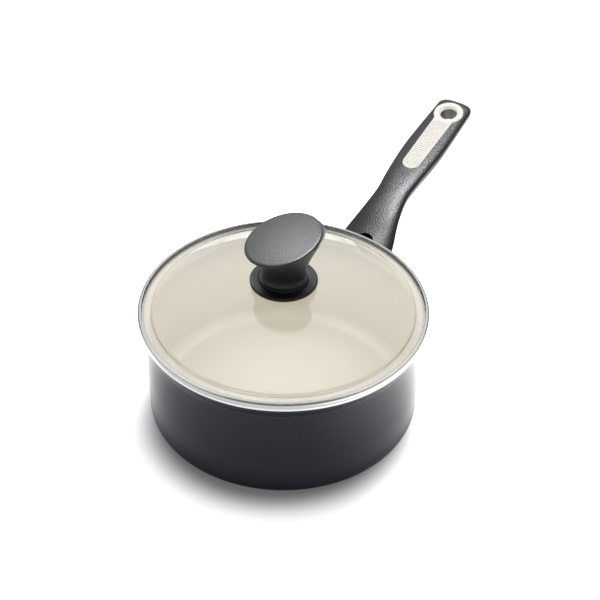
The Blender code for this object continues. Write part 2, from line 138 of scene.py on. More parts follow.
# A white room, brighter toward a large silk behind and above the pan
SILK_BEARING, SILK_HEIGHT = math.radians(30), math.radians(56)
sky = bpy.data.worlds.new("white studio")
bpy.context.scene.world = sky
sky.use_nodes = True
tree = sky.node_tree
way = add_node(tree, "ShaderNodeTexCoord").outputs["Generated"]
toward_silk = Vector((math.cos(SILK_BEARING) * math.cos(SILK_HEIGHT),
                      math.sin(SILK_BEARING) * math.cos(SILK_HEIGHT), math.sin(SILK_HEIGHT)))
facing = add_node(tree, "ShaderNodeVectorMath", {"operation": "DOT_PRODUCT", 1: toward_silk}, {0: way})
glow = add_node(tree, "ShaderNodeMapRange", {"interpolation_type": "SMOOTHSTEP", "From Min": 0.45,
                                             "From Max": 1.0, "To Min": 0.26, "To Max": 1.6},
                {"Value": facing.outputs["Value"]})
tree.links.new(glow.outputs["Result"], tree.nodes["Background"].inputs["Strength"])
tree.nodes["Background"].inputs["Color"].default_value = linear("#F7F9FF")


def hang_softbox(name, place, target, width, height, watts):
    """A soft rectangular lamp at a place, facing a target."""
    lamp = bpy.data.lights.new(name, "AREA")
    lamp.shape = "RECTANGLE"
    lamp.size, lamp.size_y, lamp.energy = width, height, watts
    made = bpy.data.objects.new(name, lamp)
    bpy.context.scene.collection.objects.link(made)
    facing = (Vector(target) - Vector(place)).to_track_quat("-Z", "Y")
    made.matrix_world = Matrix.Translation(place) @ facing.to_matrix().to_4x4()
    return made


def hang_silk(name, bearing, height, spread, strength):
    """A wide, far silk: a sun lamp from a bearing and height, in degrees, of that spread."""
    lamp = bpy.data.lights.new(name, "SUN")
    lamp.angle, lamp.energy = math.radians(spread), strength
    made = bpy.data.objects.new(name, lamp)
    bpy.context.scene.collection.objects.link(made)
    bearing, height = math.radians(bearing), math.radians(height)
    toward = Vector((math.cos(bearing) * math.cos(height), math.sin(bearing) * math.cos(height),
                     math.sin(height)))
    made.matrix_world = (-toward).to_track_quat("-Z", "Y").to_matrix().to_4x4()
    return made


overhead = hang_softbox("overhead softbox", (0.22, 0.14, 1.18), (0.22, 0.0, 0.09),
                        width=0.74, height=0.16, watts=29.0)
behind = hang_softbox("rear softbox", (0.42, 0.72, 0.98), (0.0, 0.0, 0.12), width=0.28, height=0.28, watts=4.6)
silks = [hang_silk("top silk", 0.0, height=90.0, spread=120.0, strength=0.75)]
silks += [hang_silk(name, bearing, height=35.0, spread=70.0, strength=1.1)
          for name, bearing in (("left silk", 121.5), ("right silk", -58.5), ("front silk", 211.5))]


# ---------------------------------------------------------------- pan
# One aluminium pressing with a flared, rolled rim. It is sprayed outside with dark
# enamel and inside with cream ceramic; the rim's edge and the turned base stay bare.

def curve_points(cx, cz, radius, start, end, count):
    """Points along an arc of an outline, angles in degrees."""
    turns = [math.radians(start + (end - start) * i / count) for i in range(count + 1)]
    return [(cx + radius * math.cos(t), cz + radius * math.sin(t)) for t in turns]


def ease(low, high, value):
    """0 below low, 1 above high, and a smooth rise between them."""
    t = min(max((value - low) / (high - low), 0.0), 1.0)
    return t * t * (3 - 2 * t)


def draw_line(name, points):
    """Draws a line of edges from point to point, in millimetres, and stays in edit mode."""
    bpy.ops.object.select_all(action="DESELECT")
    bpy.ops.mesh.primitive_plane_add(size=MM)
    piece = bpy.context.object
    piece.name = name
    bpy.ops.object.mode_set(mode="EDIT")
    bpy.ops.mesh.select_all(action="SELECT")
    bpy.ops.mesh.merge(type="CENTER")
    bpy.ops.transform.translate(value=Vector(points[0]) * MM)
    for here, following in zip(points, points[1:]):
        step = (Vector(following) - Vector(here)) * MM
        bpy.ops.mesh.extrude_region_move(TRANSFORM_OT_translate={"value": step})
    return piece


def spin_piece(name, outline, steps=192, closed=False, crease=40.0):
    """Spins an outline of (radius, height) points about the pan's axis."""
    corners = outline + outline[:1] if closed else outline
    piece = draw_line(name, [(x, 0.0, z) for x, z in corners])
    bpy.ops.mesh.select_all(action="SELECT")
    bpy.ops.mesh.spin(steps=steps, angle=2 * math.pi, center=(0.0, 0.0, 0.0), axis=(0.0, 0.0, 1.0))
    bpy.ops.mesh.select_all(action="SELECT")
    bpy.ops.mesh.remove_doubles(threshold=0.000002)
    bpy.ops.mesh.normals_make_consistent(inside=False)
    bpy.ops.object.mode_set(mode="OBJECT")
    bpy.ops.object.shade_smooth_by_angle(angle=math.radians(crease))
    return piece


WALL_OUT, WALL_IN, FLOOR_TOP = 92.3, 89.4, 4.0
FLARE, FLARE_IN, FLARE_OUT = 4.5, (70.4, 80.2), (68.6, 79.4)      # its reach, and its heights inside and out
RIM_IN_R, RIM_OUT_R, RIM_Z = 93.9, 96.8, 80.5
ENAMEL_EDGE = 79.1            # the enamel stops below the rolled edge
BARE_BASE_R = 80.6

inside = [(radius, FLOOR_TOP) for radius in (0.0, 25.0, 50.0, 70.0)] + curve_points(79.4, 14.0, 10.0, -90, 0, 14)
inside += [(WALL_IN, z) for z in (24.0, 36.0, 48.0, 60.0, 68.0)]
inside += [(WALL_IN + FLARE * ease(*FLARE_IN, z), z)
           for z in (70.4, 71.6, 72.8, 74.0, 75.2, 76.4, 77.6, 78.8, 79.8)]
rim = [(RIM_IN_R, RIM_Z)] + curve_points(94.6, RIM_Z, 0.7, 150, 90, 4) + curve_points(96.1, RIM_Z, 0.7, 90, 0, 6)
outside = [(RIM_OUT_R, 79.7), (RIM_OUT_R, ENAMEL_EDGE)]
outside += [(WALL_OUT + FLARE * ease(*FLARE_OUT, z), z)
            for z in (78.2, 77.0, 75.8, 74.6, 73.4, 72.2, 71.0, 69.8, 68.6)]
outside += [(WALL_OUT, z) for z in (60.0, 46.0, 32.0, 18.0)]      # the straight wall, then its turn under
outside += [(WALL_OUT - 0.3, 9.0), (WALL_OUT - 0.15, 8.0)] + curve_points(85.0, 7.0, 7.0, 0, -90, 12)
base = [(BARE_BASE_R + out, z) for out, z in ((0.6, 0.0), (0.2, 0.35), (-0.4, 0.35), (-0.8, 0.0))]
for radius in (64.0, 48.0, 32.0, 16.0):       # shallow turned rings
    base += [(radius + out, z) for out, z in ((0.5, 0.0), (0.2, 0.2), (-0.2, 0.2), (-0.5, 0.0))]
base += [(2.5, 0.0), (0.0, 0.6)]
pan = spin_piece("pan_shell", inside + rim + outside + base)


def join_finish(tree, shader, tint, gloss, bump):
    """Joins a finish's colour, gloss and relief to its shader."""
    tree.links.new(tint.outputs[2], shader.inputs["Base Color"])
    tree.links.new(gloss.outputs["Result"], shader.inputs["Roughness"])
    tree.links.new(bump.outputs["Normal"], shader.inputs["Normal"])


# Sprayed satin enamel: nearly black, with a fine mica that lifts it to charcoal and
# the slight orange peel of a sprayed coat, 2 mm across. The mica is drawn at 0.7 mm,
# coarser than its real flakes, so that it shows
enamel, tree, shader = new_finish("charcoal enamel, sprayed", Specular_IOR_Level=0.16, IOR=1.5)
place = add_node(tree, "ShaderNodeTexCoord").outputs["Object"]
mica = add_node(tree, "ShaderNodeTexVoronoi", {"Scale": 1400.0}, {"Vector": place}).outputs["Color"]
cloud = add_node(tree, "ShaderNodeTexNoise", {"Scale": 45.0, "Detail": 3.0}, {"Vector": place}).outputs["Fac"]
speck = add_node(tree, "ShaderNodeMapRange", {"From Min": 0.05, "From Max": 0.75, "To Max": 0.6}, {"Value": mica})
shade = add_node(tree, "ShaderNodeMath", {"operation": "MULTIPLY_ADD", 1: 0.4},
                 {0: cloud, 2: speck.outputs["Result"]})
tint = add_node(tree, "ShaderNodeMix", {"data_type": "RGBA", 6: linear("#08080F"), 7: linear("#13131E")},
                {0: shade.outputs["Value"]})
gloss = add_node(tree, "ShaderNodeMapRange", {"To Min": 0.18, "To Max": 0.23}, {"Value": cloud})
peel = add_node(tree, "ShaderNodeTexNoise", {"Scale": 520.0, "Detail": 2.0}, {"Vector": place}).outputs["Fac"]
bump = add_node(tree, "ShaderNodeBump", {"Strength": 0.12, "Distance": 0.0002}, {"Height": peel})
join_finish(tree, shader, tint, gloss, bump)

# Sol-gel ceramic: warm cream, smooth and softly glossy, a little cloudy over 35 mm or
# so where the coat is thicker, with a very faint grain of 0.9 mm
ceramic, tree, shader = new_finish("cream ceramic, fired", IOR=1.5, Coat_Weight=0.25, Coat_Roughness=0.12)
place = add_node(tree, "ShaderNodeTexCoord").outputs["Object"]
cloud = add_node(tree, "ShaderNodeTexNoise", {"Scale": 28.0, "Detail": 4.0}, {"Vector": place}).outputs["Fac"]
grain = add_node(tree, "ShaderNodeTexNoise", {"Scale": 1100.0, "Detail": 1.0}, {"Vector": place}).outputs["Fac"]
shade = add_node(tree, "ShaderNodeMath", {"operation": "MULTIPLY", 1: 0.3}, {0: grain})
shade = add_node(tree, "ShaderNodeMath", {"operation": "MULTIPLY_ADD", 1: 0.8},
                 {0: cloud, 2: shade.outputs["Value"]})
tint = add_node(tree, "ShaderNodeMix", {"data_type": "RGBA", 6: linear("#DED8C9"), 7: linear("#E6E0D3")},
                {0: shade.outputs["Value"]})
gloss = add_node(tree, "ShaderNodeMapRange", {"To Min": 0.28, "To Max": 0.36}, {"Value": cloud})
bump = add_node(tree, "ShaderNodeBump", {"Strength": 0.02, "Distance": 0.0002}, {"Height": grain})
join_finish(tree, shader, tint, gloss, bump)

# Bare aluminium, turned on a lathe: bright, with fine rings about 0.4 mm apart that
# are drawn coarser than the tool's real marks so that they show
turned_aluminium, tree, shader = new_finish("turned aluminium", Metallic=1.0)
place = add_node(tree, "ShaderNodeTexCoord").outputs["Object"]
split = add_node(tree, "ShaderNodeSeparateXYZ", (), {"Vector": place})
flat = add_node(tree, "ShaderNodeCombineXYZ", (), {"X": split.outputs["X"], "Y": split.outputs["Y"]})
radius = add_node(tree, "ShaderNodeVectorMath", {"operation": "LENGTH"}, {0: flat.outputs["Vector"]})
track = add_node(tree, "ShaderNodeCombineXYZ", (), {"X": radius.outputs["Value"], "Y": split.outputs["Z"]})
rings = add_node(tree, "ShaderNodeTexNoise", {"Scale": 2500.0, "Detail": 2.0},
                 {"Vector": track.outputs["Vector"]}).outputs["Fac"]
cloud = add_node(tree, "ShaderNodeTexNoise", {"Scale": 60.0, "Detail": 3.0}, {"Vector": place}).outputs["Fac"]
tint = add_node(tree, "ShaderNodeMix", {"data_type": "RGBA", 6: linear("#B2B2B4"), 7: linear("#CACACC")},
                {0: rings})
gloss = add_node(tree, "ShaderNodeMapRange", {"To Min": 0.16, "To Max": 0.30}, {"Value": cloud})
bump = add_node(tree, "ShaderNodeBump", {"Strength": 0.25, "Distance": 0.0001}, {"Height": rings})
join_finish(tree, shader, tint, gloss, bump)

for finish in (enamel, ceramic, turned_aluminium):
    pan.data.materials.append(finish)
for face in pan.data.polygons:
    out = math.hypot(face.center.x, face.center.y) / MM
    height = face.center.z / MM
    on_rim = height > ENAMEL_EDGE and out > RIM_IN_R - 0.05
    on_base = height < 0.5 and out < BARE_BASE_R + 0.9
    within = out < 90.0 or out < WALL_IN + 0.6 + FLARE * ease(*FLARE_IN, height)
    if on_rim or on_base:
        face.material_index = 2
    elif out < RIM_IN_R + 0.05 and height > 2.0 and within:
        face.material_index = 1
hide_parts("pan_body")
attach(pan, "pan")

# The silks light the pan, and further on the inlay and the lid's band, which the front
# silk leaves out. Only the pan shades them
filled = bpy.data.collections.new("filled by the silks")
faced = bpy.data.collections.new("filled by the front silk")
blocking = bpy.data.collections.new("shading the silks")
for group in (filled, faced, blocking):
    group.objects.link(pan)
for silk in silks:
    silk.light_linking.receiver_collection = faced if silk.name == "front silk" else filled
    silk.light_linking.blocker_collection = blocking


# ---------------------------------------------------------------- handle grip
# Black phenolic, moulded hollow at the root and screwed to the pan's bracket. It
# rises from the wall, narrows at the waist and widens to a flat-topped grip.

GRIP_STATIONS = (             # x, top, half width, belly depth, crown height
    (88.0, 62.5, 21.8, 19.0, 8.0),
    (97.0, 66.5, 21.7, 19.0, 8.0),
    (112.0, 74.3, 20.6, 18.2, 6.8),
    (130.0, 85.0, 15.3, 14.4, 4.6),
    (146.0, 92.5, 12.5, 11.6, 3.5),
    (160.0, 97.6, 13.2, 13.0, 3.1),
    (176.0, 101.9, 14.3, 14.0, 3.0),
    (192.0, 105.6, 15.0, 13.4, 3.0),
    (210.0, 109.6, 14.7, 11.9, 3.0),
    (228.0, 113.6, 14.0, 10.7, 3.0),
    (245.0, 117.4, 13.4, 10.1, 3.0),
)
GRIP_END, END_ROUND, END_CROWN_DROP, END_BELLY_RISE = 244.3, 5.2, 1.4, 4.0
FLAT_START, FLAT_RUN = 100.0, 60.0      # where the top begins to flatten, and over what length
HOLE = (230.1, 114.1)         # x and z of the hanging hole at the grip's top
GRIP_SLOPE = math.atan(0.2235)
ROOT_GAP_R = 95.6             # the root is hollowed to this radius round the pan
NOTCH_X, NOTCH_R = 105.0, 8.0
HOLE_R, POCKET_DEPTH, GAP = 6.7, 2.55, 0.3
TONGUE_START, TONGUE_SLOPE, SCREW_ALONG = (90.0, 55.0), math.radians(27.0), 33.0
SLOT_HALF, SLOT_BASE, SLOT_TOP = 7.3, -0.3, 3.3
SCREW_WAY_R, HEAD_WAY_R, HEAD_SEAT = 2.7, 5.2, -2.7

on_grip = Matrix.Translation((HOLE[0] * MM, 0.0, HOLE[1] * MM)) @ Matrix.Rotation(-GRIP_SLOPE, 4, "Y")
on_tongue = (Matrix.Translation((TONGUE_START[0] * MM, 0.0, TONGUE_START[1] * MM))
             @ Matrix.Rotation(-TONGUE_SLOPE, 4, "Y") @ Matrix.Translation((SCREW_ALONG * MM, 0.0, 0.0)))


def between(table, x, column):
    """A smooth curve through a column of the stations, read at x."""
    last = len(table) - 1
    i = min(max([j for j in range(last) if table[j][0] <= x] + [0]), last - 1)

    def slope(j):
        """The curve's slope at a station."""
        a, b = max(j - 1, 0), min(j + 1, last)
        return (table[b][column] - table[a][column]) / (table[b][0] - table[a][0])

    run = table[i + 1][0] - table[i][0]
    t = (x - table[i][0]) / run
    return ((2 * t**3 - 3 * t**2 + 1) * table[i][column] + (t**3 - 2 * t**2 + t) * run * slope(i)
            + (3 * t**2 - 2 * t**3) * table[i + 1][column] + (t**3 - t**2) * run * slope(i + 1))


def grip_section(x, sides=72):
    """One ring of the grip: a low crown over a round belly, drawn in at the far end."""
    top, width, belly, crown = [between(GRIP_STATIONS, x, column) for column in (1, 2, 3, 4)]
    flat = min(max((x - FLAT_START) / FLAT_RUN, 0.0), 1.0)
    past = max(0.0, x - (GRIP_END - END_ROUND)) / END_ROUND
    pull = 1.0 - math.sqrt(max(0.0, 1.0 - min(past, 1.0)**2))
    middle = top - crown
    width, crown, belly = width - END_ROUND * pull, crown - END_CROWN_DROP * pull, belly - END_BELLY_RISE * pull
    ring = []
    for i in range(sides):
        turn = 2 * math.pi * (i + 0.5) / sides
        c, s = math.cos(turn), math.sin(turn)
        power = 2 / (2.0 + 0.5 * flat) if s > 0 else 2 / (2.5 - 0.3 * flat)
        ring.append(Vector((x, math.copysign(width * abs(c)**power, c),
                            middle + math.copysign((crown if s > 0 else belly) * abs(s)**power, s))) * MM)
    return ring


def raise_rings(name, rings, crease=35.0):
    """Pulls a circle through a list of rings, extruding it to each, and closes its ends."""
    bpy.ops.object.select_all(action="DESELECT")
    bpy.ops.mesh.primitive_circle_add(vertices=len(rings[0]), radius=MM)
    piece = bpy.context.object
    piece.name = name
    order = piece.data.attributes.new("order", "INT", "POINT")
    for i, corner in enumerate(piece.data.vertices):
        order.data[i].value = i
        corner.co = rings[0][i]
    bpy.ops.object.mode_set(mode="EDIT")
    bpy.ops.mesh.select_all(action="SELECT")
    for ring in rings[1:]:
        bpy.ops.mesh.extrude_edges_move()
        shape = bmesh.from_edit_mesh(piece.data)
        layer = shape.verts.layers.int["order"]
        for corner in shape.verts:
            if corner.select:
                corner.co = ring[corner[layer]]
        bmesh.update_edit_mesh(piece.data)
    bpy.ops.mesh.select_all(action="SELECT")
    bpy.ops.mesh.remove_doubles(threshold=0.000001)
    bpy.ops.mesh.fill_holes(sides=0)
    bpy.ops.mesh.select_all(action="SELECT")
    bpy.ops.mesh.normals_make_consistent(inside=False)
    bpy.ops.object.mode_set(mode="OBJECT")
    piece.data.attributes.remove(piece.data.attributes["order"])
    bpy.ops.object.shade_smooth_by_angle(angle=math.radians(crease))
    return piece


def set_place(piece, matrix):
    """Moves a piece and writes its place into its mesh."""
    bpy.ops.object.select_all(action="DESELECT")
    piece.select_set(True)
    bpy.context.view_layer.objects.active = piece
    piece.matrix_world = matrix
    bpy.ops.object.transform_apply(location=True, rotation=True, scale=True)
    return piece


def make_rod(radius, low, high, matrix=Matrix.Identity(4), sides=64, top_radius=None):
    """A tool for boring: a cylinder or cone between two heights on its own axis."""
    bpy.ops.object.select_all(action="DESELECT")
    bpy.ops.mesh.primitive_cone_add(vertices=sides, radius1=radius * MM, radius2=(top_radius or radius) * MM,
                                    depth=(high - low) * MM,
                                    location=(0.0, 0.0, (low + high) / 2 * MM))
    return set_place(bpy.context.object, matrix @ bpy.context.object.matrix_world)


def make_block(low, high, matrix=Matrix.Identity(4)):
    """A tool for cutting: a block between two corners."""
    low, high = Vector(low) * MM, Vector(high) * MM
    bpy.ops.object.select_all(action="DESELECT")
    bpy.ops.mesh.primitive_cube_add(size=1.0, location=(low + high) / 2, scale=high - low)
    return set_place(bpy.context.object, matrix @ bpy.context.object.matrix_world)


def cut(piece, tool):
    """Cuts a piece with a tool, and puts the tool away."""
    step = piece.modifiers.new("cut", "BOOLEAN")
    step.operation = "DIFFERENCE"
    step.object = tool
    bpy.context.view_layer.objects.active = piece
    bpy.ops.object.modifier_apply(modifier=step.name)
    bpy.data.objects.remove(tool, do_unlink=True)


def make_plate(name, outline, low, high):
    """A flat plate of an outline, between two heights."""
    piece = draw_line(name, [(x, y, low) for x, y in outline + outline[:1]])
    bpy.ops.mesh.select_all(action="SELECT")
    bpy.ops.mesh.remove_doubles(threshold=0.000001)
    bpy.ops.mesh.edge_face_add()
    bpy.ops.mesh.extrude_region_move(TRANSFORM_OT_translate={"value": (0.0, 0.0, (high - low) * MM)})
    bpy.ops.mesh.select_all(action="SELECT")
    bpy.ops.mesh.normals_make_consistent(inside=False)
    bpy.ops.object.mode_set(mode="OBJECT")
    return piece


INLAY_RING_R, INLAY_HALF_FAR, INLAY_HALF_NEAR, INLAY_BACK = 11.0, 7.4, 6.7, -56.8


def keyhole(grow, steps=48):
    """The inlay's outline, grown a little: a strip with a round end, widening into a ring."""
    ring, far, near = INLAY_RING_R + grow, INLAY_HALF_FAR + grow, INLAY_HALF_NEAR + grow
    join = math.degrees(math.asin(far / ring))
    return (curve_points(0.0, 0.0, ring, -(180 - join), 180 - join, steps)
            + curve_points(INLAY_BACK, 0.0, near, 90, 270, steps // 2))


body_start, body_end = GRIP_STATIONS[0][0], GRIP_END - END_ROUND
stops = [body_start + (body_end - body_start) * i / 96 for i in range(97)]
stops += [body_end + END_ROUND * math.sin(math.radians(a)) for a in (12, 24, 36, 48, 60, 70, 78)]
grip = raise_rings("grip_moulding", [grip_section(x) for x in stops])

# The hollow round the pan's wall, the notch at the root, the inlay's pocket, the
# hanging hole, the tongue's slot, and the ways of the screw and of its head
cut(grip, make_rod(ROOT_GAP_R, 20.0, 90.0, sides=256))
cut(grip, make_rod(NOTCH_R, 62.0, 100.0, Matrix.Translation((NOTCH_X * MM, 0.0, 0.0))))
cut(grip, set_place(make_plate("pocket", keyhole(GAP), -POCKET_DEPTH, 3.0), on_grip))
cut(grip, make_rod(HOLE_R, -30.0, 10.0, on_grip))
cut(grip, make_block((-43.0, -SLOT_HALF, SLOT_BASE), (10.0, SLOT_HALF, SLOT_TOP), on_tongue))
cut(grip, make_rod(SCREW_WAY_R, -40.0, 1.0, on_tongue, sides=32))
cut(grip, make_rod(HEAD_WAY_R, -40.0, HEAD_SEAT, on_tongue, sides=48))
bpy.ops.object.select_all(action="DESELECT")
grip.select_set(True)
bpy.context.view_layer.objects.active = grip
bpy.ops.object.shade_smooth_by_angle(angle=math.radians(35.0))

# Compression-moulded phenolic: black with a little filler showing, a fine spark-eroded
# matt grain from the mould, drawn at 1 mm so that it shows, and a soft sheen
phenolic, tree, shader = new_finish("black phenolic, moulded", IOR=1.5, Specular_IOR_Level=0.32)
place = add_node(tree, "ShaderNodeTexCoord").outputs["Object"]
grit = add_node(tree, "ShaderNodeTexNoise", {"Scale": 880.0, "Detail": 3.0, "Roughness": 0.6},
                {"Vector": place}).outputs["Fac"]
cloud = add_node(tree, "ShaderNodeTexNoise", {"Scale": 70.0, "Detail": 4.0}, {"Vector": place}).outputs["Fac"]
tint = add_node(tree, "ShaderNodeMix", {"data_type": "RGBA", 6: linear("#0F0F11"), 7: linear("#1B1B1D")},
                {0: grit})
gloss = add_node(tree, "ShaderNodeMapRange", {"To Min": 0.26, "To Max": 0.33}, {"Value": cloud})
bump = add_node(tree, "ShaderNodeBump", {"Strength": 0.72, "Distance": 0.0003}, {"Height": grit})
join_finish(tree, shader, tint, gloss, bump)
grip.data.materials.clear()
grip.data.materials.append(phenolic)
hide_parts("handle_grip")
picked = bpy.data.collections.new("picked out by the overhead softbox")
picked.objects.link(grip)
overhead.light_linking.receiver_collection = picked
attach(grip, "pan")


# ---------------------------------------------------------------- handle inlay
# A soft cream plastic strip pressed into the grip's top. A raised border runs round
# a field of fine cross ribs, and its far end is the ring round the hanging hole.

RIB_PITCH = 1.9               # coarser than the real 1.2 mm, so that the ribs show
RIB_WIDTH, FIELD_DEPTH, BORDER = 1.0, 0.5, 1.15
RIBS_FROM, RIBS_TO, RIB_TOP = -62.0, -11.6, 0.02
INLAY_BASE, INLAY_TOP, BORDER_ROUND = -2.25, 0.15, 0.3
FIELD_HALF_FAR, FIELD_HALF_END = 7.3 - BORDER, 6.2 - BORDER
RING_HOLE_R, CHAMFER_LOW_R, CHAMFER_TOP_R = 6.2, 6.0, 7.85

inlay = make_plate("inlay_strip", keyhole(0.0), INLAY_BASE, INLAY_TOP)
bpy.ops.object.mode_set(mode="EDIT")
bpy.ops.mesh.select_all(action="DESELECT")
bpy.ops.mesh.select_mode(type="FACE")
shape = bmesh.from_edit_mesh(inlay.data)
for face in shape.faces:
    face.select_set(face.normal.z > 0.9)
bmesh.update_edit_mesh(inlay.data)
bpy.ops.mesh.region_to_loop()
bpy.ops.mesh.bevel(offset=BORDER_ROUND * MM, segments=3, affect="EDGES")
bpy.ops.mesh.select_mode(type="VERT")
bpy.ops.object.mode_set(mode="OBJECT")

field = make_plate("field", curve_points(INLAY_BACK, 0.0, INLAY_HALF_NEAR - BORDER, 90, 270, 24)
                   + [(-12.6, -FIELD_HALF_FAR), (-11.6, -FIELD_HALF_END), (-11.3, 0.0),
                      (-11.6, FIELD_HALF_END), (-12.6, FIELD_HALF_FAR)], INLAY_TOP - FIELD_DEPTH, 2.0)
along = RIBS_FROM
while along < RIBS_TO:
    cut(field, make_block((along, -8.0, -1.0), (along + RIB_WIDTH, 8.0, RIB_TOP)))
    along += RIB_PITCH
cut(inlay, field)
cut(inlay, make_rod(RING_HOLE_R, -10.0, 10.0))
cut(inlay, make_rod(CHAMFER_LOW_R, -1.25, 0.60, top_radius=CHAMFER_TOP_R))
set_place(inlay, on_grip)
bpy.ops.object.shade_smooth_by_angle(angle=math.radians(32.0))

# Soft-touch cream plastic, moulded: warm white, satin, slightly translucent at edges,
# with the mould's fine matt texture drawn at 0.7 mm so that it shows
cream, tree, shader = new_finish("cream soft plastic, moulded", IOR=1.46, Subsurface_Weight=0.08,
                                 Subsurface_Scale=0.001)
place = add_node(tree, "ShaderNodeTexCoord").outputs["Object"]
grit = add_node(tree, "ShaderNodeTexNoise", {"Scale": 1500.0, "Detail": 2.0}, {"Vector": place}).outputs["Fac"]
cloud = add_node(tree, "ShaderNodeTexNoise", {"Scale": 90.0, "Detail": 3.0}, {"Vector": place}).outputs["Fac"]
tint = add_node(tree, "ShaderNodeMix", {"data_type": "RGBA", 6: linear("#CAC8BF"), 7: linear("#D5D3CB")},
                {0: cloud})
gloss = add_node(tree, "ShaderNodeMapRange", {"To Min": 0.45, "To Max": 0.6}, {"Value": grit})
bump = add_node(tree, "ShaderNodeBump", {"Strength": 0.15, "Distance": 0.0001}, {"Height": grit})
join_finish(tree, shader, tint, gloss, bump)
inlay.data.materials.clear()
inlay.data.materials.append(cream)
filled.objects.link(inlay)
faced.objects.link(inlay)
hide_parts("handle_inlay")
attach(inlay, "pan")


# ---------------------------------------------------------------- handle fixings
# A folded steel bracket is spot-welded to the pan. The grip slides over its tongue and
# one cross-headed screw, with a washer, comes up from below into the tapped hole.

def thread(radius, high, low, pitch, depth):
    """The outline of a thread, turn by turn downwards, drawn as plain rings."""
    count = int((high - low) / pitch)
    points = []
    for i in range(count):
        points += [(radius, high - pitch * (i + 0.1)), (radius - depth, high - pitch * (i + 0.5)),
                   (radius, high - pitch * (i + 0.9))]
    return points


def flat_ring(inner, outer, low, high, soft):
    """The outline of a washer, with its corners eased by a soft radius."""
    points = []
    for r, z, start in ((outer - soft, low + soft, -90), (outer - soft, high - soft, 0),
                        (inner + soft, high - soft, 90), (inner + soft, low + soft, 180)):
        points += curve_points(r, z, soft, start, start + 90, 3)
    return points


def cross_recess(screw, low, high):
    """Sinks a cross-shaped drive into a screw's head."""
    cut(screw, make_block((-2.1, -0.45, low), (2.1, 0.45, high)))
    cut(screw, make_block((-0.45, -2.1, low), (0.45, 2.1, high)))


handle_screw = spin_piece("grip_screw", [(0.0, 3.0), (2.0, 3.0)]
                          + thread(radius=2.4, high=2.6, low=-3.2, pitch=0.8, depth=0.42)
                          + [(2.0, -3.4), (2.0, -4.1), (4.2, -4.1), (4.3, -4.2), (4.3, -5.3)]
                          + curve_points(3.0, -5.3, 1.3, 0, -80, 5) + [(0.0, -6.6)], steps=48)
cross_recess(handle_screw, -8.0, -5.1)
handle_washer = spin_piece("grip_screw_washer", flat_ring(2.7, 4.7, -3.8, -3.0, 0.15), steps=64,
                           closed=True)
for piece in (handle_screw, handle_washer):
    set_place(piece, on_tongue)
    bpy.ops.object.shade_smooth_by_angle(angle=math.radians(35.0))

# Bright zinc plate over steel: pale blue-grey with a faint cloudy bloom, 2.5 mm across,
# and fine turning marks, drawn at 0.3 mm so that they show
zinc, tree, shader = new_finish("steel, bright zinc plated", Metallic=1.0)
place = add_node(tree, "ShaderNodeTexCoord").outputs["Object"]
cloud = add_node(tree, "ShaderNodeTexNoise", {"Scale": 400.0, "Detail": 3.0}, {"Vector": place}).outputs["Fac"]
marks = add_node(tree, "ShaderNodeTexNoise", {"Scale": 3000.0, "Detail": 2.0}, {"Vector": place}).outputs["Fac"]
tint = add_node(tree, "ShaderNodeMix", {"data_type": "RGBA", 6: linear("#A6AAAE"), 7: linear("#C6C9CB")},
                {0: cloud})
gloss = add_node(tree, "ShaderNodeMapRange", {"To Min": 0.22, "To Max": 0.40}, {"Value": marks})
bump = add_node(tree, "ShaderNodeBump", {"Strength": 0.15, "Distance": 0.0001}, {"Height": marks})
join_finish(tree, shader, tint, gloss, bump)
for piece, node in ((handle_screw, "handle_screw"), (handle_washer, "handle_washer")):
    piece.data.materials.append(zinc)
    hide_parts(node)
    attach(piece, "pan")

# Black electro-coat on the folded bracket: even, satin, with an orange peel of 1 mm
coated, tree, shader = new_finish("steel, black electro-coat", IOR=1.5, Specular_IOR_Level=0.5)
place = add_node(tree, "ShaderNodeTexCoord").outputs["Object"]
cloud = add_node(tree, "ShaderNodeTexNoise", {"Scale": 120.0, "Detail": 3.0}, {"Vector": place}).outputs["Fac"]
peel = add_node(tree, "ShaderNodeTexNoise", {"Scale": 900.0, "Detail": 2.0}, {"Vector": place}).outputs["Fac"]
tint = add_node(tree, "ShaderNodeMix", {"data_type": "RGBA", 6: linear("#141516"), 7: linear("#1F2022")},
                {0: cloud})
gloss = add_node(tree, "ShaderNodeMapRange", {"To Min": 0.30, "To Max": 0.42}, {"Value": cloud})
bump = add_node(tree, "ShaderNodeBump", {"Strength": 0.20, "Distance": 0.0002}, {"Height": peel})
join_finish(tree, shader, tint, gloss, bump)
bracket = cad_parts["handle_bracket"]
for i in range(len(bracket.material_slots)):
    bracket.material_slots[i].material = coated


# ---------------------------------------------------------------- lid glass
# A dome of glass, pressed with a flat flange that the band grips and a hole in the
# middle for the knob's screw, then tempered.

FLANGE_TOP, APEX, DOME_R, FLANGE_THICK, DOME_THICK = 84.8, 105.3, 89.5, 2.5, 3.2
LINE_R, LINE_WIDTH, LINE_DEPTH = 88.3, 0.4, 0.3         # the fine line pressed where dome meets flange
ball = (DOME_R**2 + (APEX - FLANGE_TOP)**2) / (2 * (APEX - FLANGE_TOP))


def dome(radius):
    """Height of the dome's top, turning sharply into the flange in a fine pressed line."""
    cap = APEX - ball + math.sqrt(ball**2 - min(radius, DOME_R)**2)
    line = LINE_DEPTH * math.exp(-((radius - LINE_R) / LINE_WIDTH)**2)
    return FLANGE_TOP + (cap - FLANGE_TOP) * (1 - ease(87.4, 89.0, radius)) - line


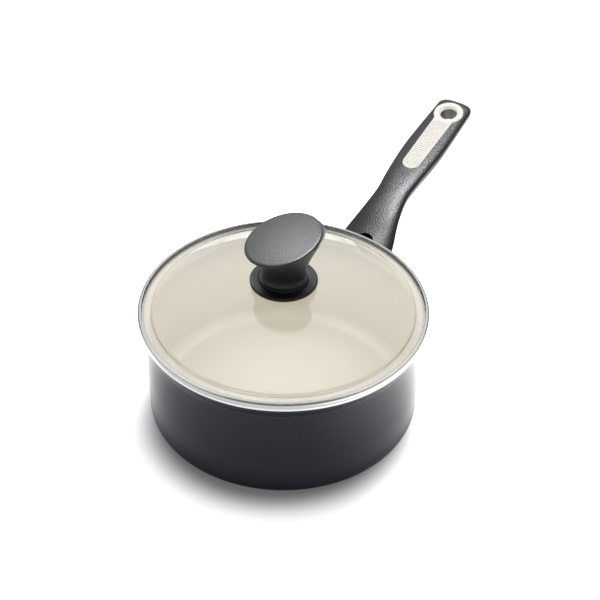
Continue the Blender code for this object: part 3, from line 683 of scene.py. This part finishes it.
BORE_R, DOME_EVEN_R = 4.2, 84.0
stops = [BORE_R + (DOME_EVEN_R - BORE_R) * i / 22 for i in range(23)]
stops += [85.2, 86.4, 87.0, 87.4, 87.7, 88.0, 88.3, 88.6, 88.9, 89.3, 90.4, 92.0]
upper = [(r, dome(r)) for r in stops]
edge = [(95.6, FLANGE_TOP)] + curve_points(96.0, FLANGE_TOP - 0.75, 0.75, 90, 0, 4)
edge += curve_points(96.0, FLANGE_TOP - 1.75, 0.75, 0, -90, 4) + [(95.6, FLANGE_TOP - FLANGE_THICK)]
lower = [(r, dome(r) - DOME_THICK + (DOME_THICK - FLANGE_THICK) * ease(82.0, 92.0, r)) for r in reversed(stops)]
glass = spin_piece("lid_dome", upper + edge + lower, closed=True)

# Tempered soda-lime glass: clear, almost without a tint, fire-polished, with the very
# slight waviness of pressing. Lamp light goes straight through it, as through any pane
clear, tree, shader = new_finish("tempered glass, pressed", Transmission_Weight=1.0, IOR=1.5,
                                 Base_Color=linear("#FBFCFB"))
place = add_node(tree, "ShaderNodeTexCoord").outputs["Object"]
smear = add_node(tree, "ShaderNodeTexNoise", {"Scale": 30.0, "Detail": 4.0}, {"Vector": place}).outputs["Fac"]
gloss = add_node(tree, "ShaderNodeMapRange", {"From Min": 0.55, "From Max": 0.9, "To Max": 0.03}, {"Value": smear})
wave = add_node(tree, "ShaderNodeTexNoise", {"Scale": 22.0, "Detail": 1.0}, {"Vector": place}).outputs["Fac"]
bump = add_node(tree, "ShaderNodeBump", {"Strength": 0.02, "Distance": 0.001}, {"Height": wave})
tree.links.new(gloss.outputs["Result"], shader.inputs["Roughness"])
tree.links.new(bump.outputs["Normal"], shader.inputs["Normal"])
ray = add_node(tree, "ShaderNodeLightPath")
through = add_node(tree, "ShaderNodeBsdfTransparent", {"Color": linear("#F8F9F7")})
both = add_node(tree, "ShaderNodeMixShader", (), {0: ray.outputs["Is Shadow Ray"], 1: shader.outputs["BSDF"],
                                                 2: through.outputs["BSDF"]})
tree.links.new(both.outputs["Shader"], tree.nodes["Material Output"].inputs["Surface"])
glass.data.materials.append(clear)
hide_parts("lid_glass")
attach(glass, "lid")


# ---------------------------------------------------------------- lid band
# A strip of stainless steel rolled round the edge of the glass into a U, its top
# lap resting on the flange and its foot sitting on the pan's rim.

BAND_R, BAND_FOOT, BAND_HEIGHT, SHEET = 97.5, 81.5, 4.0, 0.45
SHOULDER, FOOT_ROUND = 2.0, 0.6
top = BAND_FOOT + BAND_HEIGHT
outside = [(94.7, top - 0.2), (94.9, top)] + curve_points(BAND_R - SHOULDER, top - SHOULDER, SHOULDER, 90, 0, 10)
outside += [(BAND_R, BAND_FOOT + FOOT_ROUND)]
outside += curve_points(BAND_R - FOOT_ROUND, BAND_FOOT + FOOT_ROUND, FOOT_ROUND, -15, -90, 5)
outside += [(93.3, BAND_FOOT), (93.1, BAND_FOOT + 0.2)]
inside = [(93.3, BAND_FOOT + SHEET), (BAND_R - FOOT_ROUND, BAND_FOOT + SHEET)]
inside += [(BAND_R - SHEET, BAND_FOOT + FOOT_ROUND)]
inside += curve_points(BAND_R - SHOULDER, top - SHOULDER, SHOULDER - SHEET, 0, 90, 8) + [(94.9, top - SHEET)]
band = spin_piece("lid_band", outside + inside, closed=True)

# Rolled stainless: satin, with fine polishing lines that run round the ring, drawn
# 0.25 mm apart, coarser than the real ones, so that they show
stainless, tree, shader = new_finish("stainless steel, rolled and satin polished", Metallic=1.0)
place = add_node(tree, "ShaderNodeTexCoord").outputs["Object"]
split = add_node(tree, "ShaderNodeSeparateXYZ", (), {"Vector": place})
flat = add_node(tree, "ShaderNodeCombineXYZ", (), {"X": split.outputs["X"], "Y": split.outputs["Y"]})
radius = add_node(tree, "ShaderNodeVectorMath", {"operation": "LENGTH"}, {0: flat.outputs["Vector"]})
turn = add_node(tree, "ShaderNodeMath", {"operation": "ARCTAN2"}, {0: split.outputs["Y"], 1: split.outputs["X"]})
slow = add_node(tree, "ShaderNodeMath", {"operation": "MULTIPLY", 1: 0.004}, {0: turn.outputs["Value"]})
track = add_node(tree, "ShaderNodeCombineXYZ", (), {"X": radius.outputs["Value"], "Y": slow.outputs["Value"],
                                                    "Z": split.outputs["Z"]})
lines = add_node(tree, "ShaderNodeTexNoise", {"Scale": 4000.0, "Detail": 2.0},
                 {"Vector": track.outputs["Vector"]}).outputs["Fac"]
tint = add_node(tree, "ShaderNodeMix", {"data_type": "RGBA", 6: linear("#989691"), 7: linear("#AFADA8")},
                {0: lines})
gloss = add_node(tree, "ShaderNodeMapRange", {"To Min": 0.20, "To Max": 0.32}, {"Value": lines})
bump = add_node(tree, "ShaderNodeBump", {"Strength": 0.10, "Distance": 0.0001}, {"Height": lines})
join_finish(tree, shader, tint, gloss, bump)
band.data.materials.append(stainless)
filled.objects.link(band)
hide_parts("lid_rim_band")
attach(band, "lid")


# ---------------------------------------------------------------- knob collar and knob
# Two black phenolic mouldings. The collar is a stepped disc that spreads the screw's
# grip on the glass; the knob is a flared neck under a slanted, slightly domed top.

COLLAR_R, COLLAR_LOW, COLLAR_HIGH, COLLAR_BOSS = 22.6, 106.2, 109.2, 110.4
COLLAR_BORE, BOSS_R, GASKET_SEAT_R, GASKET_SEAT = 2.6, 15.6, 14.3, 0.9
KNOB_FOOT, KNOB_R, KNOB_RISE, KNOB_MIDDLE = 110.7, 26.5, 1.8, (-0.7, 0.0, 141.2)
KNOB_TURN, KNOB_TILT, NECK_TOP = math.radians(-50.5), math.radians(17.0), -2.6

outline = [(COLLAR_BORE, COLLAR_BOSS), (BOSS_R, COLLAR_BOSS)]
outline += curve_points(BOSS_R, COLLAR_BOSS - 0.5, 0.5, 80, 10, 3)
outline += [(r, COLLAR_HIGH - down) for r, down in ((16.5, 0.35), (16.9, 0.15), (18.0, 0.1), (20.4, 0.18))]
outline += curve_points(COLLAR_R - 1.1, COLLAR_HIGH - 1.3, 1.1, 85, 0, 6)
outline += curve_points(COLLAR_R - 0.7, COLLAR_LOW + 0.7, 0.7, 0, -90, 4)
outline += [(GASKET_SEAT_R, COLLAR_LOW), (GASKET_SEAT_R, COLLAR_LOW + GASKET_SEAT),
            (COLLAR_BORE, COLLAR_LOW + GASKET_SEAT)]
collar = spin_piece("collar_disc", outline, steps=128, closed=True, crease=50.0)

NECK = (                      # height, radius
    (110.7, 15.4), (111.1, 14.9), (112.0, 14.6), (113.2, 14.4), (116.0, 14.4), (120.4, 15.3),
    (124.9, 16.9), (129.4, 18.7), (135.8, 21.6), (143.2, 25.0), (152.0, 29.0),
)
on_knob = (Matrix.Rotation(KNOB_TURN, 4, "Z") @ Matrix.Translation(Vector(KNOB_MIDDLE) * MM)
           @ Matrix.Rotation(-KNOB_TILT, 4, "Y"))
into_knob = on_knob.inverted()


def neck_corner(turn, share):
    """A corner of the neck at a turn, a share of the way from its foot up to the slant."""
    def at(height):
        """The neck's surface at that turn and a height."""
        reach = between(NECK, height, 1)
        return Vector((reach * math.cos(turn), reach * math.sin(turn), height)) * MM

    below, above = KNOB_FOOT, NECK[-1][0] - 0.1
    for _ in range(30):
        middle = (below + above) / 2
        if (into_knob @ at(middle)).z < NECK_TOP * MM:
            below = middle
        else:
            above = middle
    return at(KNOB_FOOT + (below - KNOB_FOOT) * share)


SIDES = 128
turns = [2 * math.pi * i / SIDES for i in range(SIDES)]


def level_ring(radius, height):
    """A ring of the knob that lies level, about the screw."""
    return [Vector((radius * math.cos(t), radius * math.sin(t), height)) * MM for t in turns]


def slant_ring(radius, height):
    """A ring of the knob's slanted top."""
    return [on_knob @ (Vector((radius * math.cos(t - KNOB_TURN), radius * math.sin(t - KNOB_TURN),
                               height)) * MM) for t in turns]


INSERT_SEAT_R, INSERT_SEAT = 4.3, 126.9
rings = [level_ring(radius, height) for radius, height in
         ((0.01, INSERT_SEAT), (INSERT_SEAT_R, INSERT_SEAT), (INSERT_SEAT_R, KNOB_FOOT), (14.9, KNOB_FOOT))]
rings += [[neck_corner(t, share) for t in turns] for share in
          (0.0, 0.02, 0.05, 0.10, 0.16, 0.22, 0.3, 0.38, 0.46, 0.54, 0.62, 0.7, 0.78, 0.86, 0.93, 1.0)]
rings += [slant_ring(radius, height) for radius, height in
          ((25.6, -2.15), (26.1, -1.9), (26.4, -1.45), (26.5, -1.0), (26.42, -0.6), (26.15, -0.25), (25.7, -0.02))]
rings += [slant_ring(radius, KNOB_RISE * (1 - (radius / KNOB_R)**2)) for radius in
          (25.0, 24.0, 22.0, 19.0, 16.0, 13.0, 10.0, 7.0, 4.0, 1.5, 0.01)]
knob = raise_rings("knob_moulding", rings, crease=40.0)

# The same phenolic with a pebbled spark-eroded grain of about 0.75 mm, drawn coarser
# than the real one, that gives the knob's top its sheen
pebbled, tree, shader = new_finish("black phenolic, spark-eroded grain", IOR=1.52)
place = add_node(tree, "ShaderNodeTexCoord").outputs["Object"]
grit = add_node(tree, "ShaderNodeTexVoronoi", {"Scale": 1350.0, "feature": "SMOOTH_F1"},
                {"Vector": place}).outputs["Distance"]
cloud = add_node(tree, "ShaderNodeTexNoise", {"Scale": 1500.0, "Detail": 2.0}, {"Vector": place}).outputs["Fac"]
tint = add_node(tree, "ShaderNodeMix", {"data_type": "RGBA", 6: linear("#0E0E0F"), 7: linear("#1A1A1B")},
                {0: cloud})
gloss = add_node(tree, "ShaderNodeMapRange", {"To Min": 0.34, "To Max": 0.42}, {"Value": cloud})
bump = add_node(tree, "ShaderNodeBump", {"Strength": 0.52, "Distance": 0.0003}, {"Height": grit})
join_finish(tree, shader, tint, gloss, bump)
lit_knob = bpy.data.collections.new("picked out by the rear softbox")
behind.light_linking.receiver_collection = lit_knob
for piece, node, finish in ((collar, "knob_collar", phenolic), (knob, "knob", pebbled)):
    piece.data.materials.append(finish)
    picked.objects.link(piece)
    lit_knob.objects.link(piece)
    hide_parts(node)
    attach(piece, "lid")


# ---------------------------------------------------------------- knob fixings
# A screw comes up through the glass into a brass insert moulded into the knob. Under
# its head are a split spring washer, a flat washer and a gasket; another lies on top.

knob_screw = spin_piece("knob_fixing_screw", [(0.0, 123.2), (1.5, 123.2)]
                        + thread(radius=2.0, high=122.7, low=98.3, pitch=0.7, depth=0.36)
                        + [(1.75, 98.1), (1.75, 97.257), (4.5, 97.257), (4.6, 97.15), (4.6, 96.0)]
                        + curve_points(3.2, 96.0, 1.4, 0, -70, 5) + [(0.0, 94.657)], steps=48)
cross_recess(knob_screw, 93.0, 96.1)
WASHER_BORE = 2.3
flat_washer = spin_piece("knob_flat_washer", flat_ring(WASHER_BORE, 7.5, 98.857, 99.857, 0.15), steps=96,
                         closed=True)
upper_gasket = spin_piece("knob_gasket_above", flat_ring(WASHER_BORE, 14.0, 105.6, 106.8, 0.4), steps=128,
                          closed=True)
lower_gasket = spin_piece("knob_gasket_below", flat_ring(WASHER_BORE, 9.0, 100.157, 101.557, 0.45), steps=96,
                          closed=True)

# The spring washer is one turn of square wire, left open and slightly raised at one end
WIRE_OUT, WIRE_LOW, WIRE_HIGH, WIRE_RISE, WIRE_DROP = 3.9, 97.657, 98.407, 0.2, 0.08
split_washer = draw_line("knob_split_washer", [(WASHER_BORE, 0.0, WIRE_LOW), (WIRE_OUT, 0.0, WIRE_LOW),
                                               (WIRE_OUT, 0.0, WIRE_HIGH), (WASHER_BORE, 0.0, WIRE_HIGH),
                                               (WASHER_BORE, 0.0, WIRE_LOW)])
bpy.ops.mesh.select_all(action="SELECT")
bpy.ops.mesh.spin(steps=60, angle=math.radians(345), center=(0.0, 0.0, 0.0), axis=(0.0, 0.0, 1.0))
bpy.ops.mesh.select_all(action="SELECT")
bpy.ops.mesh.remove_doubles(threshold=0.000002)
bpy.ops.mesh.fill_holes(sides=0)
bpy.ops.mesh.normals_make_consistent(inside=False)
bpy.ops.object.mode_set(mode="OBJECT")
for corner in split_washer.data.vertices:
    share = math.atan2(corner.co.y, corner.co.x) % (2 * math.pi) / (2 * math.pi)
    corner.co.z += (share * WIRE_RISE - WIRE_DROP) * MM
bpy.ops.object.shade_smooth_by_angle(angle=math.radians(35.0))


KNURL_TEETH, KNURL_DEPTH = 24, 0.3
insert_turns = [2 * math.pi * i / 192 for i in range(192)]


def knurled_ring(radius, height, teeth=0.0):
    """A ring of the insert, with knurl teeth of a depth where it grips the moulding."""
    reaches = [radius - teeth * abs(math.sin(KNURL_TEETH / 2 * t)) for t in insert_turns]
    return [Vector((reach * math.cos(t), reach * math.sin(t), height)) * MM
            for reach, t in zip(reaches, insert_turns)]


insert = raise_rings("knob_brass_insert", [knurled_ring(*row) for row in (
    (WASHER_BORE, 111.2), (3.6, 111.2), (4.0, 111.6), (4.0, 112.2), (4.0, 112.4, KNURL_DEPTH),
    (4.0, 116.6, KNURL_DEPTH), (3.5, 117.0), (3.5, 119.2), (4.0, 119.6, KNURL_DEPTH), (4.0, 124.6, KNURL_DEPTH),
    (3.6, 125.2), (WASHER_BORE, 125.2), (WASHER_BORE, 111.2))], crease=30.0)

# Free-cutting brass, turned and knurled: warm yellow, bright, slightly dulled, with
# turning marks drawn at 0.3 mm so that they show
brass, tree, shader = new_finish("brass, turned and knurled", Metallic=1.0)
place = add_node(tree, "ShaderNodeTexCoord").outputs["Object"]
cloud = add_node(tree, "ShaderNodeTexNoise", {"Scale": 350.0, "Detail": 3.0}, {"Vector": place}).outputs["Fac"]
marks = add_node(tree, "ShaderNodeTexNoise", {"Scale": 3000.0, "Detail": 2.0}, {"Vector": place}).outputs["Fac"]
tint = add_node(tree, "ShaderNodeMix", {"data_type": "RGBA", 6: linear("#C0994A"), 7: linear("#DDBD70")},
                {0: cloud})
gloss = add_node(tree, "ShaderNodeMapRange", {"To Min": 0.18, "To Max": 0.34}, {"Value": marks})
bump = add_node(tree, "ShaderNodeBump", {"Strength": 0.15, "Distance": 0.0001}, {"Height": marks})
join_finish(tree, shader, tint, gloss, bump)

# Moulded silicone: milky, matt and a little see-through at its edges, with the mould's
# fine grain of 0.4 mm
silicone, tree, shader = new_finish("silicone rubber, moulded", IOR=1.41, Subsurface_Weight=0.3,
                                    Subsurface_Scale=0.001)
place = add_node(tree, "ShaderNodeTexCoord").outputs["Object"]
cloud = add_node(tree, "ShaderNodeTexNoise", {"Scale": 200.0, "Detail": 3.0}, {"Vector": place}).outputs["Fac"]
grit = add_node(tree, "ShaderNodeTexNoise", {"Scale": 2500.0, "Detail": 2.0}, {"Vector": place}).outputs["Fac"]
tint = add_node(tree, "ShaderNodeMix", {"data_type": "RGBA", 6: linear("#BFBDB6"), 7: linear("#D2D0C9")},
                {0: cloud})
gloss = add_node(tree, "ShaderNodeMapRange", {"To Min": 0.45, "To Max": 0.60}, {"Value": grit})
bump = add_node(tree, "ShaderNodeBump", {"Strength": 0.15, "Distance": 0.0001}, {"Height": grit})
join_finish(tree, shader, tint, gloss, bump)

for piece, node, finish, slot in ((knob_screw, "knob_screw", zinc, "plated_steel"),
                                  (flat_washer, "knob_washer", zinc, "plated_steel"),
                                  (split_washer, "knob_spring_washer", zinc, "plated_steel"),
                                  (insert, "knob_insert", brass, "insert_brass"),
                                  (upper_gasket, "knob_gasket_upper", silicone, "gasket_silicone"),
                                  (lower_gasket, "knob_gasket_lower", silicone, "gasket_silicone")):
    piece.data.materials.append(finish)
    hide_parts(node)
    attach(piece, "lid")
